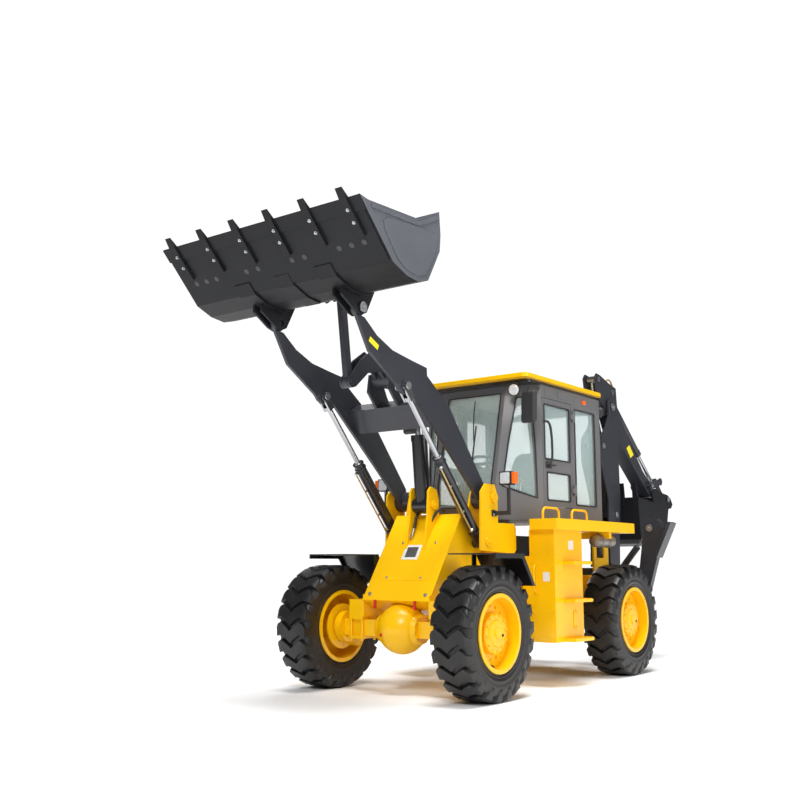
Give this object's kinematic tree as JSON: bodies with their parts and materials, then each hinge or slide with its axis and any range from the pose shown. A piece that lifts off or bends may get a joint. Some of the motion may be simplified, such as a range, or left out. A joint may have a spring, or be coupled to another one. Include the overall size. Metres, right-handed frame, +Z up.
{
  "type": "backhoe loader",
  "caption": "Wheeled backhoe loader with a raised loader bucket, a glazed cab and a folded side-shift backhoe with stabilizers.",
  "frame": {"origin": "middle of the footprint, on the ground", "axes": "+X to the machine's left, the loader bucket towards -Y, +Z up"},
  "size_m": [2.6, 7.716, 4.121],
  "materials": {
    "yellow_paint": "semi-gloss",
    "grey_paint": "satin",
    "black_paint": "satin",
    "cast_grey": "painted",
    "tyre_rubber": "matte",
    "rod_chrome": "polished",
    "window_glass": "clear",
    "trim_black": "matte",
    "seat_vinyl": "matte",
    "lamp_housing": "gloss"
  },
  "bodies": {
    "rear_chassis": {"rear_frame": "yellow_paint", "engine_block": "cast_grey", "decks": "yellow_paint", "side_boxes": "yellow_paint", "cab_frame": "grey_paint", "cab_glass": "window_glass", "cab_roof": "yellow_paint", "roof_lining": "black_paint", "seat_pedestal": "black_paint", "operator_seat": "seat_vinyl", "steering_console": "trim_black", "rear_axle": "yellow_paint", "shift_frame": "grey_paint"},
    "front_chassis": {"front_frame": "yellow_paint", "front_axle": "yellow_paint", "front_fenders": "black_paint", "headlamps": "lamp_housing"},
    "arms": {"loader_arms": "grey_paint"},
    "left_door": {"door_left": "grey_paint", "door_glass_left": "window_glass"},
    "right_door": {"door_right": "grey_paint", "door_glass_right": "window_glass"},
    "wheel_front_left": {"tyre_front_left": "tyre_rubber", "rim_front_left": "yellow_paint"},
    "wheel_front_right": {"tyre_front_right": "tyre_rubber", "rim_front_right": "yellow_paint"},
    "wheel_rear_left": {"tyre_rear_left": "tyre_rubber", "rim_rear_left": "yellow_paint"},
    "wheel_rear_right": {"tyre_rear_right": "tyre_rubber", "rim_rear_right": "yellow_paint"},
    "loader_bucket_body": {"loader_bucket": "grey_paint"},
    "bellcrank_body": {"bellcrank": "grey_paint"},
    "tilt_link_body": {"tilt_link": "grey_paint"},
    "tilt_barrel_body": {"tilt_barrel": "grey_paint"},
    "tilt_rod_body": {"tilt_rod": "rod_chrome"},
    "lift_left_barrel_body": {"lift_left_barrel": "grey_paint"},
    "lift_left_rod_body": {"lift_left_rod": "rod_chrome"},
    "lift_right_barrel_body": {"lift_right_barrel": "grey_paint"},
    "lift_right_rod_body": {"lift_right_rod": "rod_chrome"},
    "carriage_body": {"carriage": "grey_paint"},
    "swing_post_body": {"swing_post": "grey_paint"},
    "boom_body": {"boom": "grey_paint"},
    "stick_body": {"stick": "grey_paint"},
    "hoe_bucket_body": {"hoe_bucket": "grey_paint"},
    "hoe_rocker_body": {"hoe_rocker": "grey_paint"},
    "hoe_link_body": {"hoe_link": "grey_paint"},
    "boom_ram_barrel_body": {"boom_ram_barrel": "grey_paint"},
    "boom_ram_rod_body": {"boom_ram_rod": "rod_chrome"},
    "stick_ram_barrel_body": {"stick_ram_barrel": "grey_paint"},
    "stick_ram_rod_body": {"stick_ram_rod": "rod_chrome"},
    "hoe_ram_barrel_body": {"hoe_ram_barrel": "grey_paint"},
    "hoe_ram_rod_body": {"hoe_ram_rod": "rod_chrome"},
    "stabilizer_left_body": {"stabilizer_left": "grey_paint"},
    "stabilizer_left_barrel_body": {"stabilizer_left_barrel": "grey_paint"},
    "stabilizer_left_rod_body": {"stabilizer_left_rod": "rod_chrome"},
    "stabilizer_right_body": {"stabilizer_right": "grey_paint"},
    "stabilizer_right_barrel_body": {"stabilizer_right_barrel": "grey_paint"},
    "stabilizer_right_rod_body": {"stabilizer_right_rod": "rod_chrome"}
  },
  "joints": [
    {"name": "articulation", "type": "hinge", "parent": "rear_chassis", "child": "front_chassis", "pos_m": [0, -0.592, 0.81], "axis": [0, 0, 1], "range_deg": [-33, 33]},
    {"name": "wheel_front_left_spin", "type": "hinge", "parent": "front_chassis", "child": "wheel_front_left", "pos_m": [0.9, -1.742, 0.5875], "axis": [1, 0, 0], "continuous": true},
    {"name": "wheel_front_right_spin", "type": "hinge", "parent": "front_chassis", "child": "wheel_front_right", "pos_m": [-0.9, -1.742, 0.5875], "axis": [1, 0, 0], "continuous": true},
    {"name": "wheel_rear_left_spin", "type": "hinge", "parent": "rear_chassis", "child": "wheel_rear_left", "pos_m": [0.9, 1.013, 0.5875], "axis": [1, 0, 0], "continuous": true},
    {"name": "wheel_rear_right_spin", "type": "hinge", "parent": "rear_chassis", "child": "wheel_rear_right", "pos_m": [-0.9, 1.013, 0.5875], "axis": [1, 0, 0], "continuous": true},
    {"name": "loader_lift", "type": "hinge", "parent": "front_chassis", "child": "arms", "pos_m": [0, -1.052, 1.82], "axis": [1, 0, 0], "range_deg": [0, 76]},
    {"name": "bucket_tilt", "type": "hinge", "parent": "arms", "child": "loader_bucket_body", "pos_m": [0, -2.997, 3.336], "axis": [1, 0, 0], "range_deg": [-30, 55]},
    {"name": "bellcrank_turn", "type": "hinge", "parent": "arms", "child": "bellcrank_body", "pos_m": [0, -2.012, 2.92], "axis": [1, 0, 0], "range_deg": [-33.5, 18.5]},
    {"name": "tilt_link_turn", "type": "hinge", "parent": "bellcrank_body", "child": "tilt_link_body", "pos_m": [0, -2.557, 2.812], "axis": [1, 0, 0], "range_deg": [-33, 60]},
    {"name": "tilt_barrel_turn", "type": "hinge", "parent": "front_chassis", "child": "tilt_barrel_body", "pos_m": [0, -1.407, 1.75], "axis": [1, 0, 0], "range_deg": [0, 95]},
    {"name": "tilt_rod_slide", "type": "slide", "parent": "tilt_barrel_body", "child": "tilt_rod_body", "axis": [0, -0.095, 0.9955], "range_m": [-0.345, 0]},
    {"name": "lift_left_rod_turn", "type": "hinge", "parent": "arms", "child": "lift_left_rod_body", "pos_m": [0.48, -2.36, 2.749], "axis": [1, 0, 0], "range_deg": [-1, 2]},
    {"name": "lift_left_slide", "type": "slide", "parent": "lift_left_rod_body", "child": "lift_left_barrel_body", "axis": [0, -0.6644, 0.7474], "range_m": [0, 0.545]},
    {"name": "door_left_swing", "type": "hinge", "parent": "rear_chassis", "child": "left_door", "pos_m": [0.744, 0.345, 2.36], "axis": [0, 0, 1], "range_deg": [0, 100]},
    {"name": "lift_right_rod_turn", "type": "hinge", "parent": "arms", "child": "lift_right_rod_body", "pos_m": [-0.48, -2.36, 2.749], "axis": [1, 0, 0], "range_deg": [-1, 2]},
    {"name": "lift_right_slide", "type": "slide", "parent": "lift_right_rod_body", "child": "lift_right_barrel_body", "axis": [0, -0.6644, 0.7474], "range_m": [0, 0.545]},
    {"name": "door_right_swing", "type": "hinge", "parent": "rear_chassis", "child": "right_door", "pos_m": [-0.744, 0.345, 2.36], "axis": [0, 0, -1], "range_deg": [0, 100]},
    {"name": "backhoe_shift", "type": "slide", "parent": "rear_chassis", "child": "carriage_body", "axis": [1, 0, 0], "range_m": [-0.72, 0.18]},
    {"name": "backhoe_swing", "type": "hinge", "parent": "carriage_body", "child": "swing_post_body", "pos_m": [0.27, 1.848, 0.81], "axis": [0, 0, 1], "range_deg": [-60, 60]},
    {"name": "boom_lower", "type": "hinge", "parent": "swing_post_body", "child": "boom_body", "pos_m": [0.27, 2.008, 0.86], "axis": [-1, 0, 0], "range_deg": [0, 100]},
    {"name": "boom_ram_turn", "type": "hinge", "parent": "swing_post_body", "child": "boom_ram_barrel_body", "pos_m": [0.27, 1.818, 1.27], "axis": [-1, 0, 0], "range_deg": [0, 110]},
    {"name": "boom_ram_slide", "type": "slide", "parent": "boom_ram_barrel_body", "child": "boom_ram_rod_body", "axis": [0, -0.0526, 0.9986], "range_m": [0, 0.68]},
    {"name": "stick_out", "type": "hinge", "parent": "boom_body", "child": "stick_body", "pos_m": [0.27, 2.034, 3.11], "axis": [1, 0, 0], "range_deg": [0, 110]},
    {"name": "stick_ram_turn", "type": "hinge", "parent": "boom_body", "child": "stick_ram_barrel_body", "pos_m": [0.27, 2.048, 1.776], "axis": [1, 0, 0], "range_deg": [0, 4]},
    {"name": "stick_ram_slide", "type": "slide", "parent": "stick_ram_barrel_body", "child": "stick_ram_rod_body", "axis": [0, -0.1663, 0.9861], "range_m": [-0.69, 0]},
    {"name": "hoe_dump", "type": "hinge", "parent": "stick_body", "child": "hoe_bucket_body", "pos_m": [0.27, 3.248, 2.11], "axis": [1, 0, 0], "range_deg": [0, 90]},
    {"name": "hoe_rocker_turn", "type": "hinge", "parent": "stick_body", "child": "hoe_rocker_body", "pos_m": [0.27, 3.138, 2.192], "axis": [1, 0, 0], "range_deg": [0, 106]},
    {"name": "hoe_link_turn", "type": "hinge", "parent": "hoe_rocker_body", "child": "hoe_link_body", "pos_m": [0.27, 3.435, 2.269], "axis": [1, 0, 0], "range_deg": [-48, 0]},
    {"name": "hoe_ram_turn", "type": "hinge", "parent": "stick_body", "child": "hoe_ram_barrel_body", "pos_m": [0.27, 2.151, 3.312], "axis": [1, 0, 0], "range_deg": [-7, 0]},
    {"name": "hoe_ram_slide", "type": "slide", "parent": "hoe_ram_barrel_body", "child": "hoe_ram_rod_body", "axis": [0, 0.7762, -0.6305], "range_m": [-0.47, 0]},
    {"name": "stabilizer_left_drop", "type": "hinge", "parent": "rear_chassis", "child": "stabilizer_left_body", "pos_m": [0.8, 1.673, 0.55], "axis": [0, 1, 0], "range_deg": [0, 92]},
    {"name": "stabilizer_left_ram_turn", "type": "hinge", "parent": "rear_chassis", "child": "stabilizer_left_barrel_body", "pos_m": [0.39, 1.673, 0.84], "axis": [0, 1, 0], "range_deg": [0, 72]},
    {"name": "stabilizer_left_ram_slide", "type": "slide", "parent": "stabilizer_left_barrel_body", "child": "stabilizer_left_rod_body", "axis": [0.6353, 0, 0.7723], "range_m": [0, 0.57]},
    {"name": "stabilizer_right_drop", "type": "hinge", "parent": "rear_chassis", "child": "stabilizer_right_body", "pos_m": [-0.8, 1.673, 0.55], "axis": [0, -1, 0], "range_deg": [0, 92]},
    {"name": "stabilizer_right_ram_turn", "type": "hinge", "parent": "rear_chassis", "child": "stabilizer_right_barrel_body", "pos_m": [-0.39, 1.673, 0.84], "axis": [0, -1, 0], "range_deg": [0, 72]},
    {"name": "stabilizer_right_ram_slide", "type": "slide", "parent": "stabilizer_right_barrel_body", "child": "stabilizer_right_rod_body", "axis": [-0.6353, 0, 0.7723], "range_m": [0, 0.57]}
  ],
  "couplings": [
    {"joint": "bellcrank_turn", "follows": "bucket_tilt", "ratio": -0.6},
    {"joint": "tilt_link_turn", "follows": "bucket_tilt", "ratio": 1.08},
    {"joint": "tilt_barrel_turn", "follows": "loader_lift", "ratio": 1.238},
    {"joint": "tilt_rod_slide", "follows": "loader_lift", "m_per_rad": -0.2556},
    {"joint": "lift_left_rod_turn", "follows": "loader_lift", "ratio": 0.0158},
    {"joint": "lift_left_slide", "follows": "loader_lift", "m_per_rad": 0.4092},
    {"joint": "lift_right_rod_turn", "follows": "loader_lift", "ratio": 0.0158},
    {"joint": "lift_right_slide", "follows": "loader_lift", "m_per_rad": 0.4092},
    {"joint": "boom_ram_turn", "follows": "boom_lower", "ratio": 1.06},
    {"joint": "boom_ram_slide", "follows": "boom_lower", "m_per_rad": 0.384},
    {"joint": "stick_ram_turn", "follows": "stick_out", "ratio": 0.03},
    {"joint": "stick_ram_slide", "follows": "stick_out", "m_per_rad": -0.354},
    {"joint": "hoe_rocker_turn", "follows": "hoe_dump", "ratio": 1.166},
    {"joint": "hoe_link_turn", "follows": "hoe_dump", "ratio": -0.53},
    {"joint": "hoe_ram_turn", "follows": "hoe_dump", "ratio": -0.072},
    {"joint": "hoe_ram_slide", "follows": "hoe_dump", "m_per_rad": -0.293},
    {"joint": "stabilizer_left_ram_turn", "follows": "stabilizer_left_drop", "ratio": 0.77},
    {"joint": "stabilizer_left_ram_slide", "follows": "stabilizer_left_drop", "m_per_rad": 0.3525},
    {"joint": "stabilizer_right_ram_turn", "follows": "stabilizer_right_drop", "ratio": 0.77},
    {"joint": "stabilizer_right_ram_slide", "follows": "stabilizer_right_drop", "m_per_rad": 0.3525}
  ]
}
